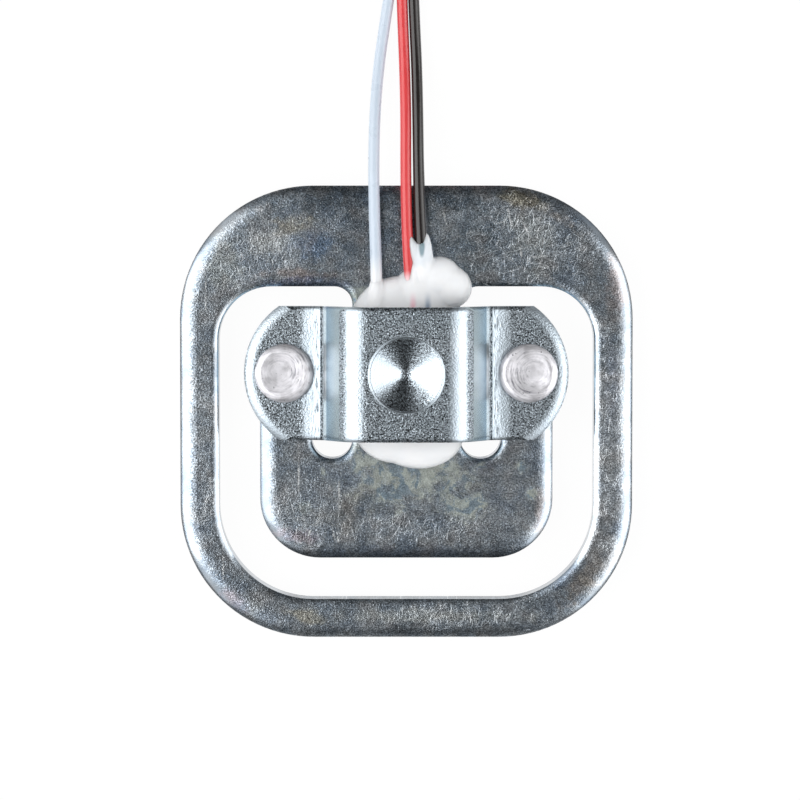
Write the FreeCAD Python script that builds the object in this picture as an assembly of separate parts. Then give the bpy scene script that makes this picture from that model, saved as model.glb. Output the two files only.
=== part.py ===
import FreeCAD, Part
import math
import os

# A half-bridge plate load cell: a stamped spring plate, a riveted load bridge, a sealed strain gauge
# and three leads. Millimetres. +Z is up, the leads leave towards +Y, and the origin is at the middle
# of the plate's underside.

# Spring plate
plate_size = 34.0
plate_thickness = 2.3
plate_corner_radius = 10.0
side_bar_width = 2.9
wire_bar_width = 7.55
window_wire_corner_radius = 4.0
tongue_half_width = 11.0
tongue_gap = 3.1
tongue_corner_radius = 4.5
beam_half_width = 4.05
beam_root_radius = 1.35
slot_width = 3.05
slot_end = -3.5
arm_end_past_rivet = 2.6
outer_edge_roll = 1.8
window_edge_roll = 0.8
roll_angle = 45.0

# Load bridge, a pressed strap with two riveted ears
strap_length = 24.3
strap_width = 10.0
strap_thickness = 1.2
strap_middle = 3.0
ear_end_radius = 6.1
ear_lift_start = 7.3
crease_offset = 6.26
crease_lift = 0.49
shoulder_offset = 4.2
bridge_height = 6.7
ear_bend_radius = 4.0
crease_radius = 0.6
shoulder_radius = 2.66
ear_end_roll = 1.3
strap_side_roll = 0.55

# Conical load dimple in the middle of the bridge
dimple_radius = 2.72
dimple_depth = 1.25
dimple_tip_radius = 1.1
dimple_wall = 1.05
dimple_rim_roll = 0.3

# Rivets
rivet_offset = 9.13
rivet_shank_radius = 1.25
rivet_head_radius = 2.19
rivet_head_height = 0.6
rivet_head_edge = 0.3
rivet_head_round = 0.12
rivet_crest_radius = 1.62
rivet_crest_round = 0.5
rivet_dish_depth = 0.18
rivet_foot_radius = 1.7
rivet_foot_depth = 0.5

# Strain gauge on the beam
film_width = 5.6
film_length = 9.6
film_thickness = 0.06
film_corner_radius = 0.4
foil_thickness = 0.03
grid_line = 0.14
grid_gap = 0.12
grid_lines = 9
grid_length = 2.4
grid_end_loop = 0.25
grid_middle = 2.6
grid_spacing = 4.2
tab_row = 7.2
tab_size = 0.8
foil_lead = 0.2
middle_lead_offset = 1.4
far_lead_offset = 1.8

# Leads: insulation, stripped ends and solder
wire_diameter = 0.84
conductor_diameter = 0.4
conductor_length = 0.95
solder_radius = 0.42
solder_height = 0.65
tinned_end_diameter = 0.5
tinned_end_length = 4.5

# Sealant: a low pad over gauge and joints, and the drop left where the nozzle was lifted
sealant_thickness = 1.25
sealant_rundown = 0.3
sealant_edge_round = 0.8
drop_middle = (3.0, 9.75)
drop_radius = 2.0
drop_height = 1.8
sealant_outline = [(-3.8, -2.6, 1.2), (-1.2, -4.1, 3.0), (2.9, -4.25, 1.3), (3.8, -2.4, 1.2),
                   (3.9, 7.4, 1.5), (5.2, 9.5, 1.5), (3.6, 12.0, 1.3), (1.3, 11.7, 1.0),
                   (0.5, 10.3, 0.6), (-1.2, 10.2, 1.5), (-3.9, 8.0, 1.2)]

# Routes of the three leads, from the sealant over the wire bar and down to the floor
wire_routes = {
    "white": [(-2.20, 7.9, 2.78), (-2.25, 10.9, 2.76), (-2.38, 14.4, 2.77), (-2.45, 18.2, 2.73),
              (-2.38, 22.0, 2.02), (-2.10, 25.8, 1.08), (-1.60, 29.2, 0.53), (-1.20, 31.8, 0.44),
              (-1.20, 34.2, 0.44)],
    "red": [(0.45, 7.9, 2.78), (0.20, 10.9, 2.76), (0.02, 14.4, 2.77), (-0.05, 18.2, 2.73),
            (-0.03, 22.0, 2.02), (-0.12, 25.8, 1.08), (-0.26, 29.2, 0.53), (-0.34, 31.8, 0.44),
            (-0.34, 34.2, 0.44)],
    "black": [(1.55, 7.9, 2.78), (1.25, 10.9, 2.76), (1.03, 14.4, 2.77), (0.90, 18.2, 2.73),
              (0.86, 22.0, 2.02), (0.78, 25.8, 1.08), (0.62, 29.2, 0.53), (0.52, 31.8, 0.44),
              (0.52, 34.2, 0.44)],
}
colours = list(wire_routes)

# Coil of the put-away length: six columns and four layers of wire, tied at its far side
coil_middle = (5.87, 44.5)
coil_mean_radius = 7.5
coil_columns = 6
coil_layers = 4
column_pitch = 0.86
layer_pitch = 0.86
coil_edge_round = 0.4
lead_in_length = 7.3
tail_length = 6.9
tail_root_length = 4.4
tail_inset = 0.1
tie_width = 2.4
tie_thickness = 0.4
tie_fit = 0.02
tie_twist_diameter = 1.1
tie_twist_length = 6.0
tie_twist_sink = 0.1

# Worked-out sizes
half_plate = plate_size / 2
window_half_width = half_plate - side_bar_width
window_top = half_plate - wire_bar_width
window_corner_radius = plate_corner_radius - side_bar_width
tongue_bottom = tongue_gap - window_half_width
arm_inside = beam_half_width + slot_width
arm_end = strap_middle + arm_end_past_rivet
slot_end_share = 0.498
arm_middle = (arm_inside + tongue_half_width) / 2
ear_top = plate_thickness + strap_thickness
ear_slope = math.atan2(crease_lift, ear_lift_start - crease_offset)
ear_flat_start = ear_lift_start + ear_bend_radius * math.tan(ear_slope / 2)
foil_bottom = plate_thickness + film_thickness
foil_top = foil_bottom + foil_thickness
wire_radius = wire_diameter / 2
coil_half_width = column_pitch * (coil_columns - 1) / 2 + wire_radius
coil_inside = coil_mean_radius - coil_half_width
coil_outside = coil_mean_radius + coil_half_width
coil_height = layer_pitch * (coil_layers - 1) + wire_diameter
tail_face = coil_middle[1] - tail_length

up = FreeCAD.Vector(0, 0, 1)
near = 1e-3


def vector(x, y, z=0.0):
    return FreeCAD.Vector(x, y, z)


def rounded_edges(points, radii, closed=True):
    # Straight runs joined by tangent arcs; a radius of 0 leaves a sharp corner or an open end.
    count = len(points)
    arcs = []
    starts = []
    ends = []
    for index, point in enumerate(points):
        if radii[index] == 0:
            arcs.append(None)
            starts.append(point)
            ends.append(point)
            continue
        back = (points[index - 1] - point).normalize()
        ahead = (points[(index + 1) % count] - point).normalize()
        half_turn = (math.pi - back.getAngle(ahead)) / 2
        reach = radii[index] * math.tan(half_turn)
        inward = (back + ahead).normalize() * (radii[index] / math.cos(half_turn) - radii[index])
        starts.append(point + back * reach)
        ends.append(point + ahead * reach)
        arcs.append(Part.Arc(starts[-1], point + inward, ends[-1]).toShape())
    edges = []
    for index in range(count):
        if arcs[index]:
            edges.append(arcs[index])
        following = (index + 1) % count
        if following == 0 and not closed:
            break
        if (starts[following] - ends[index]).Length > near:
            edges.append(Part.LineSegment(ends[index], starts[following]).toShape())
    return edges


def outline_prism(corners, bottom, height):
    # corners are (x, y, corner radius)
    points = [vector(x, y, bottom) for x, y, radius in corners]
    wire = Part.Wire(rounded_edges(points, [radius for x, y, radius in corners]))
    return Part.Face(wire).extrude(up * height)


def rectangle_corners(x_range, y_range, radius):
    left, right = x_range
    low, high = y_range
    return [(left, low, radius), (right, low, radius), (right, high, radius), (left, high, radius)]


def block(x_range, y_range, z_range):
    sizes = [high - low for low, high in (x_range, y_range, z_range)]
    return Part.makeBox(*sizes, vector(x_range[0], y_range[0], z_range[0]))


def line(start, end):
    # start and end are (distance from the axis, height)
    return Part.LineSegment(vector(start[0], 0, start[1]), vector(end[0], 0, end[1])).toShape()


def round_arc(centre_height, radius, start_angle, end_angle, off_axis=0.0):
    # An arc about a point on the axis or beside it; angles are measured from straight down.
    points = []
    for angle in (start_angle, (start_angle + end_angle) / 2, end_angle):
        x = off_axis + radius * math.sin(angle)
        points.append(vector(x, 0, centre_height - radius * math.cos(angle)))
    return Part.Arc(*points).toShape()


def cap_radius(half_chord, rise):
    # The radius of an arc that rises this far over half its chord.
    return (half_chord ** 2 + rise ** 2) / (2 * rise)


def dome_arc(base_radius, base, crown):
    rise = crown - base
    radius = cap_radius(base_radius, rise)
    edge_angle = math.pi - math.atan2(base_radius, radius - rise)
    return round_arc(crown - radius, radius, edge_angle, math.pi)


def turned(profile, x, y):
    # A solid of revolution about the upright line through x, y.
    solid = Part.Face(Part.Wire(profile)).revolve(vector(0, 0), up, 360)
    solid.translate(vector(x, y))
    return solid


def only_solid(shape):
    # The one solid of a boolean result, with seams between like faces taken out.
    solids = shape.removeSplitter().Solids
    if len(solids) != 1:
        raise ValueError("expected one solid, got %d" % len(solids))
    return solids[0]


def edge_middle(edge):
    return edge.valueAt((edge.FirstParameter + edge.LastParameter) / 2)


def level_edges(shape, height):
    boxes = [(edge, edge.BoundBox) for edge in shape.Edges]
    return [edge for edge, box in boxes if abs(box.ZMin - height) < near and abs(box.ZMax - height) < near]


def rivet_places():
    return (("left", -rivet_offset), ("right", rivet_offset))


def roll_spare(radius):
    # How far a full round of this radius reaches past the wall that the punch shears through it.
    return radius * (1 - math.sin(math.radians(roll_angle)))


def plate_form(outer_spare, window_spare):
    # One square plate less one slot, which frees the beam, the tongue and the two arms. The spares
    # move the outline and the tongue, or the window and the beam, out into the open.
    half = half_plate + outer_spare
    plate = outline_prism(rectangle_corners((-half, half), (-half, half), plate_corner_radius + outer_spare),
                          0, plate_thickness)
    top = window_top - window_spare
    beam = beam_half_width + window_spare
    arm = arm_inside - window_spare
    slot_low = slot_end + window_spare
    slot_round = slot_end_share * (arm - beam)
    tip = arm_end + window_spare
    tongue = tongue_half_width + outer_spare
    right_side = [(beam, top, beam_root_radius - window_spare),
                  (beam, slot_low, slot_round),
                  (arm, slot_low, slot_round),
                  (arm, tip, 0),
                  (tongue, tip, 0),
                  (tongue, tongue_bottom - outer_spare, tongue_corner_radius + outer_spare)]
    left_side = [(-x, y, radius) for x, y, radius in reversed(right_side)]
    wide = window_half_width - window_spare
    far_round = window_corner_radius - window_spare
    wire_round = window_wire_corner_radius - window_spare
    window = [(-wide, top, wire_round), (-wide, -wide, far_round),
              (wide, -wide, far_round), (wide, top, wire_round)]
    return plate.cut(outline_prism(right_side + left_side + window, 0, plate_thickness))


def spring_plate():
    # The upper edges are drawn down in a part round, which ends at the sheared wall.
    plate = plate_form(roll_spare(outer_edge_roll), roll_spare(window_edge_roll))
    plate = plate.makeFillet(outer_edge_roll, plate_edges(plate, "outside") + plate_edges(plate, "tongue"))
    plate = plate.makeFillet(window_edge_roll, plate_edges(plate, "window"))
    plate = plate.common(plate_form(0, 0))
    for side, x in rivet_places():
        plate = plate.cut(rivet_core(x, ear_top))
    return only_solid(plate)


def past_corner_centre(point):
    # Distance from the square that the centres of the plate's corner arcs span.
    reach = half_plate - plate_corner_radius
    return math.hypot(max(abs(point.x) - reach, 0), max(abs(point.y) - reach, 0))


def plate_edges(plate, group):
    # Upper edges by where they are: outside, tongue or window. The arm tips under the ears stay sharp.
    tongue_reach = window_corner_radius - tongue_gap / 2
    chosen = []
    for edge in level_edges(plate, plate_thickness):
        middle = edge_middle(edge)
        x = abs(middle.x)
        past = past_corner_centre(middle)
        if past > plate_corner_radius - side_bar_width / 2:
            place = "outside"
        elif past < tongue_reach and (x > arm_middle + near or middle.y < slot_end - slot_width):
            place = "tongue"
        else:
            place = "window"
        at_tip = arm_end - near < middle.y < window_top - slot_width / 2
        on_arm = abs(x - arm_middle) < slot_width / 2
        if place == group and not (at_tip and on_arm):
            chosen.append(edge)
    return chosen


def load_bridge():
    # A hat section bent from one strap, trimmed to round ears and pressed into a cone.
    right_side = [(shoulder_offset, bridge_height), (crease_offset, ear_top + crease_lift),
                  (ear_lift_start, ear_top), (strap_length / 2, ear_top)]
    upper = [(-x, z) for x, z in reversed(right_side)] + right_side
    upper_radii = [0, ear_bend_radius, crease_radius, shoulder_radius]
    lower_radii = [0, ear_bend_radius + strap_thickness, crease_radius + strap_thickness,
                   shoulder_radius - strap_thickness]
    section = upper + moved_down(upper, strap_thickness)[::-1]
    radii = upper_radii + upper_radii[::-1] + lower_radii + lower_radii[::-1]
    sheared_width = strap_width + 2 * roll_spare(strap_side_roll)
    front = strap_middle - sheared_width / 2
    wire = Part.Wire(rounded_edges([vector(x, front, z) for x, z in section], radii))
    strap = Part.Face(wire).extrude(vector(0, sheared_width, 0))
    strap = strap.makeFillet(strap_side_roll, upper_side_edges(strap, sheared_width / 2))
    strap = strap.common(ear_outline())
    for side, x in rivet_places():
        strap = strap.cut(ear_end_waste(math.copysign(1, x)))
        strap = strap.cut(rivet_core(x, ear_top + rivet_head_edge))
    strap = strap.fuse(dimple_form(dimple_wall)).cut(dimple_form(0)).removeSplitter()
    return only_solid(strap.makeFillet(dimple_rim_roll, dimple_rim(strap)))


def moved_down(points, distance):
    # An open line of (x, z) points moved down by the sheet's thickness, measured square to it.
    angles = [math.atan2(after[1] - here[1], after[0] - here[0]) for here, after in zip(points, points[1:])]
    moved = []
    for (x, z), arriving, leaving in zip(points, angles[:1] + angles, angles + angles[-1:]):
        mean = (arriving + leaving) / 2
        reach = distance / math.cos((leaving - arriving) / 2)
        moved.append((x + reach * math.sin(mean), z - reach * math.cos(mean)))
    return moved


def ear_outline():
    # The strap seen from above: two straight sides and two round ends.
    half_width = strap_width / 2
    tip = strap_length / 2
    corner = tip - ear_end_radius + math.sqrt(ear_end_radius ** 2 - half_width ** 2)
    low = strap_middle - half_width
    high = strap_middle + half_width
    edges = [Part.LineSegment(vector(-corner, low), vector(corner, low)).toShape(),
             Part.Arc(vector(corner, low), vector(tip, strap_middle), vector(corner, high)).toShape(),
             Part.LineSegment(vector(corner, high), vector(-corner, high)).toShape(),
             Part.Arc(vector(-corner, high), vector(-tip, strap_middle), vector(-corner, low)).toShape()]
    return Part.Face(Part.Wire(edges)).extrude(up * (bridge_height + strap_thickness))


def dimple_form(wall):
    # A round-tipped cone; with a wall it is the boss that the punch leaves under the strap.
    slope = math.atan2(dimple_depth, dimple_radius)
    centre = bridge_height - dimple_depth + dimple_tip_radius / math.cos(slope)
    radius = dimple_tip_radius + wall
    tangent = (radius * math.sin(slope), centre - radius * math.cos(slope))
    top = bridge_height - strap_thickness / 2 if wall else bridge_height + strap_thickness
    rim = (tangent[0] + (top - tangent[1]) / math.tan(slope), top)
    profile = [round_arc(centre, radius, 0, slope), line(tangent, rim), line(rim, (0, top)),
               line((0, top), (0, centre - radius))]
    return turned(profile, 0, strap_middle)


def dimple_rim(strap):
    chosen = []
    for edge in level_edges(strap, bridge_height):
        middle = edge_middle(edge)
        if math.hypot(middle.x, middle.y - strap_middle) < dimple_radius + near:
            chosen.append(edge)
    return chosen


def upper_side_edges(strap, off_middle):
    # Edges of the upward faces that run along the strap's two sides.
    least_upward = 0.3
    chosen = {}
    for face in strap.Faces:
        u_low, u_high, v_low, v_high = face.ParameterRange
        if face.normalAt((u_low + u_high) / 2, (v_low + v_high) / 2).z < least_upward:
            continue
        for edge in face.Edges:
            if abs(abs(edge_middle(edge).y - strap_middle) - off_middle) < near:
                chosen[edge.hashCode()] = edge
    return list(chosen.values())


def ear_end_waste(side):
    # What is left round a disc with a rounded upper edge, where the ear's end is drawn down.
    disc_height = 2 * ear_end_roll
    middle = vector(side * (strap_length / 2 - ear_end_radius), strap_middle, ear_top - disc_height)
    disc = Part.makeCylinder(ear_end_radius + roll_spare(ear_end_roll), disc_height, middle)
    disc = disc.makeFillet(ear_end_roll, level_edges(disc, ear_top))
    x_range = sorted((side * ear_flat_start, side * strap_length))
    y_range = (strap_middle - strap_width, strap_middle + strap_width)
    return block(x_range, y_range, (ear_top - disc_height, bridge_height)).cut(disc)


def rivet_core(x, top):
    # The shank with its flush countersunk foot, which is also the hole in the plate and the ear.
    corners = [(0, 0), (rivet_foot_radius, 0), (rivet_shank_radius, rivet_foot_depth),
               (rivet_shank_radius, top), (0, top)]
    profile = [line(start, end) for start, end in zip(corners, corners[1:] + corners[:1])]
    return turned(profile, x, strap_middle)


def rivet(x, strap):
    # The formed head is a low button with a dished middle, pressed down onto the ear.
    crest = ear_top + rivet_head_height
    edge = ear_top + rivet_head_edge
    rim = rivet_head_radius - rivet_crest_radius
    shoulder = cap_radius(rim, crest - edge)
    shoulder_start = math.pi - math.asin(rim / shoulder)
    dish = cap_radius(rivet_crest_radius, rivet_dish_depth)
    bottom = crest - rivet_dish_depth
    profile = [line((0, ear_top), (rivet_head_radius, ear_top)),
               line((rivet_head_radius, ear_top), (rivet_head_radius, edge)),
               round_arc(crest - shoulder, shoulder, shoulder_start, math.pi, rivet_crest_radius),
               round_arc(bottom + dish, dish, math.asin(rivet_crest_radius / dish), 0),
               line((0, bottom), (0, ear_top))]
    head = turned(profile, x, strap_middle)
    head = head.makeFillet(rivet_head_round, level_edges(head, edge))
    head = head.makeFillet(rivet_crest_round, level_edges(head, crest))
    return only_solid(rivet_core(x, ear_top).fuse(head.cut(strap)))


def film_outline():
    x_range = (-film_width / 2, film_width / 2)
    y_range = (strap_middle - film_length / 2, strap_middle + film_length / 2)
    return rectangle_corners(x_range, y_range, film_corner_radius)


def foil_strip(x_range, y_range):
    return block(x_range, y_range, (foil_bottom, foil_top))


def gauge_grid(middle):
    # A rectangle of foil cut from alternate ends into one winding line.
    pitch = grid_line + grid_gap
    low = middle - grid_length / 2
    high = middle + grid_length / 2
    left = -(grid_lines * pitch - grid_gap) / 2
    grid = foil_strip((left, -left), (low, high))
    for index in range(grid_lines - 1):
        cut = left + grid_line + index * pitch
        y_range = (low + grid_end_loop, high) if index % 2 else (low, high - grid_end_loop)
        grid = grid.cut(foil_strip((cut, cut + grid_gap), y_range))
    return grid, left, low, high


def gauge_foil():
    # Two grids in series: the white and black tabs take the outer ends, the red tab their joint.
    near_grid, left, near_low, near_high = gauge_grid(grid_middle + grid_spacing / 2)
    far_grid, left, far_low, far_high = gauge_grid(grid_middle - grid_spacing / 2)
    tabs = {colour: tab_place(colour) for colour in colours}
    half_tab = tab_size / 2
    half_lead = foil_lead / 2
    tab_low = tab_row - half_tab
    middle_lead = (middle_lead_offset - half_lead, middle_lead_offset + half_lead)
    far_lead = (far_lead_offset - half_lead, far_lead_offset + half_lead)
    white_lead = (tabs["white"] - half_lead, tabs["white"] + half_lead)
    red_lead = (tabs["red"] - half_lead, tabs["red"] + half_lead)
    strips = [(white_lead, (near_low - foil_lead, tab_low)),
              ((white_lead[0], left + grid_line), (near_low - foil_lead, near_low)),
              (red_lead, (near_high, tab_low)),
              ((red_lead[0], middle_lead[1]), (near_high, near_high + foil_lead)),
              (middle_lead, (far_high, near_high)),
              ((-left - grid_line, middle_lead[1]), (far_high, far_high + foil_lead)),
              ((left, far_lead[1]), (far_low - foil_lead, far_low)),
              (far_lead, (far_low, tab_low))]
    for x in tabs.values():
        strips.append(((x - half_tab, x + half_tab), (tab_low, tab_row + half_tab)))
    foil = near_grid.fuse(far_grid)
    for x_range, y_range in strips:
        foil = foil.fuse(foil_strip(x_range, y_range))
    return only_solid(foil)


def lead_start(colour):
    # Where the insulation begins, and the way that the stripped end points.
    start, following = [vector(*point) for point in wire_routes[colour][:2]]
    return start, (start - following).normalize()


def tab_place(colour):
    start, direction = lead_start(colour)
    return start.x + direction.x / direction.y * (tab_row - start.y)


def conductor(colour):
    start, direction = lead_start(colour)
    return Part.makeCylinder(conductor_diameter / 2, conductor_length, start, direction)


def solder_joint(colour):
    # A blob of solder that has wetted its tab and closed over the stripped end.
    waist = foil_top + solder_height - solder_radius
    profile = [line((0, foil_top), (solder_radius, foil_top)),
               line((solder_radius, foil_top), (solder_radius, waist)),
               round_arc(waist, solder_radius, math.pi / 2, math.pi),
               line((0, foil_top + solder_height), (0, foil_top))]
    blob = turned(profile, tab_place(colour), tab_row)
    return only_solid(blob.cut(conductor(colour)))


def route_radii(points):
    # The largest tangent arc that two runs allow, with a margin.
    share = 0.45
    radii = [0]
    for before, here, after in zip(points, points[1:], points[2:]):
        half_turn = (math.pi - (before - here).getAngle(after - here)) / 2
        shorter = min((before - here).Length, (after - here).Length)
        radii.append(share * shorter / math.tan(half_turn))
    return radii + [0]


def wire(colour):
    points = [vector(*point) for point in wire_routes[colour]]
    radii = route_radii(points)
    path = Part.Wire(rounded_edges(points, radii, closed=False))
    ring = Part.Wire([Part.Circle(points[0], points[1] - points[0], wire_radius).toShape()])
    tube = path.makePipeShell([ring], True, False)
    share = tube.Volume / (math.pi * wire_radius ** 2 * path.Length)
    tightest = min(radius for radius in radii if radius)
    print("wire_%s tightest radius %.1f, length %.2f, volume share %.4f"
          % (colour, tightest, path.Length, share))
    return tube


def sealant(plate, buried):
    # It lies on the beam, runs down a little over the drawn edges and closes over what it buries.
    bottom = plate_thickness - sealant_rundown
    pad = outline_prism(sealant_outline, bottom, sealant_thickness + sealant_rundown)
    pad = pad.makeFillet(sealant_edge_round, level_edges(pad, plate_thickness + sealant_thickness))
    crown = plate_thickness + drop_height
    profile = [line((0, plate_thickness), (drop_radius, plate_thickness)),
               dome_arc(drop_radius, plate_thickness, crown), line((0, crown), (0, plate_thickness))]
    body = pad.fuse(turned(profile, *drop_middle))
    body = body.cut(outline_prism(film_outline(), plate_thickness, film_thickness + foil_thickness))
    for piece in [plate] + buried:
        body = body.cut(piece)
    return only_solid(body)


def column_radius(column):
    return coil_mean_radius + (column - (coil_columns - 1) / 2) * column_pitch


def tail_places():
    # The outer columns hold the leads in the reverse order, so that all three are equally long.
    first = coil_columns // 2
    return {colour: coil_middle[0] + column_radius(first + index) for index, colour in enumerate(colours)}


def wire_coil():
    # The outer shape of the wound turns, with the leads' way in and their tails' way out.
    section = rectangle_corners((coil_inside, coil_outside), (0, coil_height), coil_edge_round)
    points = [vector(x, 0, z) for x, z, radius in section]
    ring = turned(rounded_edges(points, [coil_edge_round] * len(points)), *coil_middle)
    lead_in = [wire_routes[colour][-1] for colour in colours]
    lead_range = (lead_in[0][0] - wire_radius, lead_in[-1][0] + wire_radius)
    ring = ring.fuse(block(lead_range, (lead_in[0][1], lead_in[0][1] + lead_in_length), (0, wire_diameter)))
    tails = list(tail_places().values())
    tail_range = (tails[0] - wire_radius, tails[-1] + wire_radius - tail_inset)
    ring = ring.fuse(block(tail_range, (tail_face, tail_face + tail_root_length), (0, wire_diameter)))
    return only_solid(ring.cut(coil_tie()))


def coil_tie():
    # A flat band round the turns, with its two ends twisted together on top of the coil.
    x, y = coil_middle
    x_range = (x - tie_width / 2, x + tie_width / 2)
    band_top = tie_thickness + coil_height + tie_fit
    inner = ((y + coil_inside - tie_fit, y + coil_outside + tie_fit), (tie_thickness, band_top))
    outer = [(low - tie_thickness, high + tie_thickness) for low, high in inner]
    band = block(x_range, *outer).cut(block(x_range, *inner))
    twist_height = band_top + tie_thickness + tie_twist_diameter / 2 - tie_twist_sink
    twist_start = vector(x, y + coil_mean_radius, twist_height)
    twist = Part.makeCylinder(tie_twist_diameter / 2, tie_twist_length, twist_start, vector(1, 0))
    return only_solid(band.fuse(twist))


def tinned_end(colour):
    start = vector(tail_places()[colour], tail_face, wire_radius)
    return Part.makeCylinder(tinned_end_diameter / 2, tinned_end_length, start, vector(0, -1))


def main():
    os.makedirs("parts", exist_ok=True)
    bridge = load_bridge()
    shapes = {"spring_plate": spring_plate(), "load_bridge": bridge}
    for side, x in rivet_places():
        shapes["rivet_" + side] = rivet(x, bridge)
    shapes["gauge_film"] = outline_prism(film_outline(), plate_thickness, film_thickness)
    shapes["gauge_foil"] = gauge_foil()
    buried = []
    for colour in colours:
        shapes["solder_" + colour] = solder_joint(colour)
        shapes["conductor_" + colour] = conductor(colour)
        shapes["wire_" + colour] = wire(colour)
        shapes["tinned_end_" + colour] = tinned_end(colour)
        buried += [shapes[kind + colour] for kind in ("solder_", "conductor_", "wire_")]
    shapes["sealant"] = sealant(shapes["spring_plate"], buried)
    shapes["wire_coil"] = wire_coil()
    shapes["coil_tie"] = coil_tie()
    for name, shape in shapes.items():
        print("%-18s valid %s volume %.4f" % (name, shape.isValid(), shape.Volume))
        shape.exportStep("parts/%s.step" % name)


main()
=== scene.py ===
import math

import bpy
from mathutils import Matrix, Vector


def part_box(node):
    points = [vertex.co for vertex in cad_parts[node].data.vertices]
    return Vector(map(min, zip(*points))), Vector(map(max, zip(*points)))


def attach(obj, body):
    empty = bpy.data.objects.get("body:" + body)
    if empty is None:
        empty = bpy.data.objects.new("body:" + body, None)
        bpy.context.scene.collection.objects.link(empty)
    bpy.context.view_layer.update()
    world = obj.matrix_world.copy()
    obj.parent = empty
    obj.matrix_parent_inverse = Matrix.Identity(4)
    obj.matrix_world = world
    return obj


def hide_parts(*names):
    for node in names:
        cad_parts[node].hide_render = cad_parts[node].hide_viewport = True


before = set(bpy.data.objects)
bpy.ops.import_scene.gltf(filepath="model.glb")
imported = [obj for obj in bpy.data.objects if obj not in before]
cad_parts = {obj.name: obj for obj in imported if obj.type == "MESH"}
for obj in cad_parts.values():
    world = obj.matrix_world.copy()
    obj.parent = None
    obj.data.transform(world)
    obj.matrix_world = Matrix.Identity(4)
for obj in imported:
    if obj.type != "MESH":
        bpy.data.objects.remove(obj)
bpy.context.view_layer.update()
mm = 0.001


def metres(*point):
    return tuple(value * mm for value in point)


def smoothStep(value, low, high):
    share = min(max((value - low) / (high - low), 0.0), 1.0)
    return share * share * (3 - 2 * share)


def clearSelection():
    if bpy.context.mode != "OBJECT":
        bpy.ops.object.mode_set(mode="OBJECT")
    bpy.ops.object.select_all(action="DESELECT")


def activate(piece):
    clearSelection()
    piece.select_set(True)
    bpy.context.view_layer.objects.active = piece


def settle(piece, name):
    # the place goes into the mesh, as on a CAD node
    activate(piece)
    piece.name = name
    piece.data.name = name
    bpy.ops.object.transform_apply(location=True, rotation=True, scale=True)
    return piece


def applyModifier(piece, kind, **settings):
    activate(piece)
    modifier = piece.modifiers.new(kind.lower(), kind)
    for name, value in settings.items():
        setattr(modifier, name, value)
    bpy.ops.object.modifier_apply(modifier=modifier.name)


def editOnly(piece, kind, chosen):
    # edit mode with only the chosen faces or edges selected
    activate(piece)
    bpy.ops.object.mode_set(mode="EDIT")
    bpy.ops.mesh.select_mode(type=kind)
    bpy.ops.mesh.select_all(action="DESELECT")
    bpy.ops.object.mode_set(mode="OBJECT")
    parts = piece.data.polygons if kind == "FACE" else piece.data.edges
    for part in parts:
        part.select = chosen(part)
    bpy.ops.object.mode_set(mode="EDIT")


def edgeAlong(piece, axis, closeness=0.99):
    # a test for straight edges that run along one axis
    def test(edge):
        start, end = [piece.data.vertices[index].co for index in edge.vertices]
        return abs((end - start).normalized()[axis]) > closeness
    return test


def dress(piece, slot, material, *nodes):
    # a finished piece rides the one body and stands for its CAD nodes
    piece.data.materials.clear()
    piece.data.materials.append(material)
    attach(piece, "root")
    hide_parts(*nodes)


# Camera: almost straight above, leaning a little towards the wires
viewer = {"across": -0.475, "along": 16.45, "height": 281.7, "lens": 167.75, "sensor": 36,  # mm
          "lean": 3.18}  # degrees

clearSelection()
bpy.ops.object.camera_add(location=metres(viewer["across"], viewer["along"], viewer["height"]),
                          rotation=(-math.radians(viewer["lean"]), 0, 0))
camera = bpy.context.object
camera.data.sensor_width = viewer["sensor"]
camera.data.lens = viewer["lens"]
bpy.context.scene.camera = camera
bpy.context.scene.view_settings.view_transform = "Standard"
print("camera placed")


# Materials
anyHeight = 1000  # mm, a scale along z that keeps a pattern the same at every height of a piece
noiseSpan = {"From Min": 0.3, "From Max": 0.7}  # nearly all of a noise lies in this
noiseMean = (0.5, 0.5, 0.5, 1.0)
pepperSpan = {"From Min": 0.38, "From Max": 0.68}  # the part of it that makes pits
patchEdge = {"ragged": 3.6, "outside": 3.0, "inside": 2.1}  # noise's part, and where a patch ends and fills


def linear(code):
    # sRGB hex to linear colour
    channels = [int(code[start:start + 2], 16) / 255 for start in (1, 3, 5)]
    return [c / 12.92 if c <= 0.04045 else ((c + 0.055) / 1.055) ** 2.4 for c in channels] + [1.0]


def perSize(size):
    # texture scale for a pattern whose features are this many mm across
    return 1 / (size * mm)


def connect(tree, node, sockets):
    # a node or an output is linked to its socket, and any other value is set on it
    for name, value in sockets.items():
        if isinstance(value, bpy.types.Node):
            value = value.outputs[0]
        if isinstance(value, bpy.types.NodeSocket):
            tree.links.new(value, node.inputs[name])
        else:
            node.inputs[name].default_value = value


def addNode(tree, kind, sockets=None, **settings):
    made = tree.nodes.new("ShaderNode" + kind)
    for name, value in settings.items():
        setattr(made, name, value)
    connect(tree, made, sockets or {})
    return made


def newMaterial(name):
    material = bpy.data.materials.new(name)
    material.use_nodes = True
    tree = material.node_tree
    return material, tree, tree.nodes["Principled BSDF"]


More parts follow.
